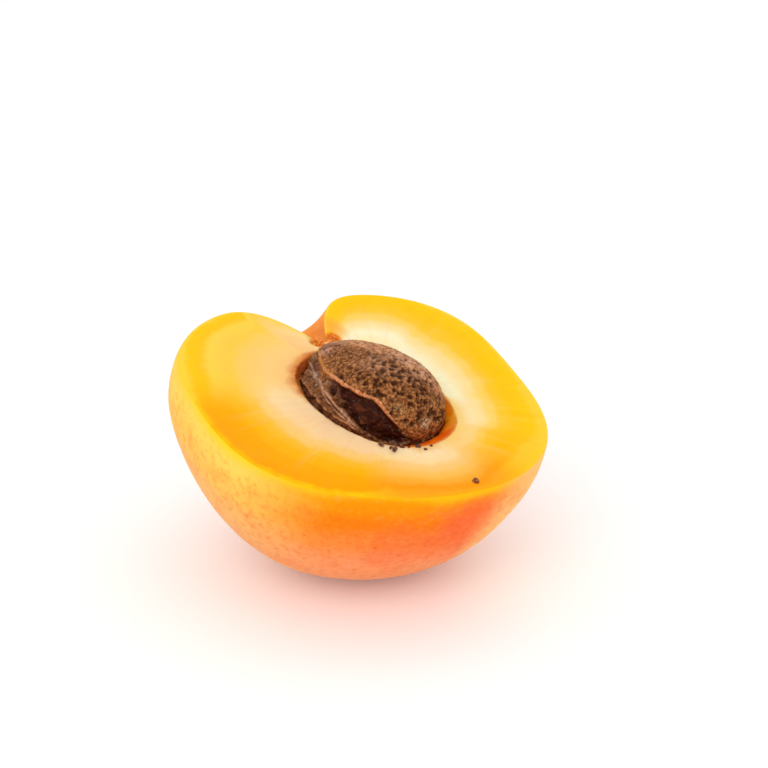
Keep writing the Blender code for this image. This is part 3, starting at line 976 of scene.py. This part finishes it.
def torn_material():
    """Torn tissue: orange where it is moist, browning where it has dried."""
    material, tree, shader = new_material("torn_tissue")
    colour = ramp(tree, noise(tree, object_place(tree), 900.0, detail=3.0), [
        (0.28, linear(140, 70, 22)), (0.42, linear(214, 112, 32)), (0.56, linear(246, 146, 44)),
        (0.75, linear(255, 196, 120))])
    feed(tree, shader, {
        "Base Color": colour, "Roughness": 0.5, "Specular IOR Level": 0.25,
        "Subsurface Weight": 0.2, "Subsurface Radius": (1.0, 0.5, 0.2), "Subsurface Scale": 0.0006})
    return material


torn = torn_material()
plug = closed_group("torn_plug", *lumps(CLUMPS, 91, 0.34))
loose_strands = closed_group("torn_strands", *strands(STRANDS, 92))
for piece in (plug, loose_strands):
    piece.data.materials.append(torn)
    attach(piece, "root")


# --- The tip scar -----------------------------------------------------------------------------
# The dry brown remnant of the flower's style, no bigger than a pinhead, grown into the apex end of the
# cut edge.

SCAR = np.array([[[37.9, 0.8, 0.05], [0.50, 0.42, 0.28]]])  # place in the fruit, then half sizes


def dry_material(name, spots_per_metre, dark, light, roughness):
    """Dry brown matter in two tones, in fine spots."""
    material, tree, shader = new_material(name)
    spots = noise(tree, object_place(tree), spots_per_metre)
    colour = mottled(tree, spots, 0.35, 0.7, linear(*dark), linear(*light))
    feed(tree, shader, {"Base Color": colour, "Roughness": roughness})
    return material


scar = closed_group("tip_scar", *lumps(SCAR, 95, 0.35))
scar.data.materials.append(dry_material("dry_scar", 2600.0, (92, 40, 10), (178, 98, 28), 0.75))
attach(scar, "root")


# --- Crumbs of stone --------------------------------------------------------------------------
# Grains of the stone's woody skin, broken off when it was turned in its hollow, lying on the moist
# flesh at the hollow's rim near the apex end.

CRUMBS = np.array([  # place in the fruit, then half sizes
    [[26.1, -6.3, 0.28], [0.40, 0.30, 0.32]], [[27.2, -5.5, 0.16], [0.18, 0.22, 0.18]],
    [[27.9, -5.3, 0.26], [0.28, 0.38, 0.34]], [[26.4, -4.6, 0.02], [0.50, 0.40, 0.45]],
    [[27.5, -3.9, 0.14], [0.30, 0.24, 0.22]], [[28.0, -3.1, 0.08], [0.16, 0.18, 0.14]],
    [[28.4, -1.9, 0.14], [0.26, 0.40, 0.26]], [[29.3, -1.3, 0.10], [0.18, 0.22, 0.18]],
    [[28.9, -0.1, 0.06], [0.14, 0.20, 0.14]]])

crumbs = closed_group("stone_crumbs", *lumps(CRUMBS, 98, 0.45))
crumbs.data.materials.append(dry_material("woody_crumb", 2200.0, (64, 28, 10), (132, 80, 42), 0.7))
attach(crumbs, "root")


# --- Camera, floor and light ------------------------------------------------------------------
# A pale seamless surface, large soft lights overhead, above the front and low in front, and a bright
# even surround. The camera looks a little down on the cut face from the front.

CAMERA_FROM_FRUIT = np.array([9.4, -254.1, 95.6])  # from the bottom of the stem hollow, in millimetres
CAMERA_ELEVATION, CAMERA_LENS = 22.0, 89.06


def add_area_light(name, place, aim, size, power, colour):
    """A square soft light that faces its aim."""
    data = bpy.data.lights.new(name, "AREA")
    data.shape = "SQUARE"
    data.size = size
    data.energy = power
    data.color = colour
    light = add_object(name, data)
    light.location = place
    light.rotation_euler = (Vector(aim) - Vector(place)).to_track_quat("-Z", "Y").to_euler()


camera = add_object("camera", bpy.data.cameras.new("camera"))
camera.data.lens = CAMERA_LENS
camera.data.clip_start = 0.01
elevation = radians(CAMERA_ELEVATION)
camera.location = (fruit_zero + CAMERA_FROM_FRUIT) / 1000
camera.rotation_euler = (math.pi / 2 - elevation, 0, 0)
bpy.context.scene.camera = camera

floor_mesh = bpy.data.meshes.new("floor")
floor_mesh.from_pydata([(-3, -3, 0), (3, -3, 0), (3, 3, 0), (-3, 3, 0)], [], [(0, 1, 2, 3)])
floor = add_object("floor", floor_mesh)
floor_material, floor_tree, floor_shader = new_material("pale_surface")
feed(floor_tree, floor_shader, {
    "Base Color": (0.97, 0.968, 0.965, 1), "Roughness": 0.6, "Specular IOR Level": 0.1,
    "Emission Color": (1, 1, 1, 1), "Emission Strength": 0.07})
floor_mesh.materials.append(floor_material)

add_area_light("overhead", (0.10, 0.06, 0.55), (0, 0, 0.02), 0.5, 0.18, (1.0, 0.99, 0.97))
add_area_light("front_above", (-0.15, -0.44, 0.38), (0, 0, 0.01), 0.35, 0.62, (1.0, 0.99, 0.98))
add_area_light("front_fill", (-0.15, -0.55, 0.10), (0, 0, 0.02), 0.5, 0.42, (1.0, 0.99, 0.98))

world = bpy.data.worlds.new("surround")
world.use_nodes = True
feed(world.node_tree, world.node_tree.nodes["Background"], {"Color": (1, 1, 1, 1), "Strength": 0.92})
bpy.context.scene.world = world
bpy.context.scene.view_settings.view_transform = "Standard"
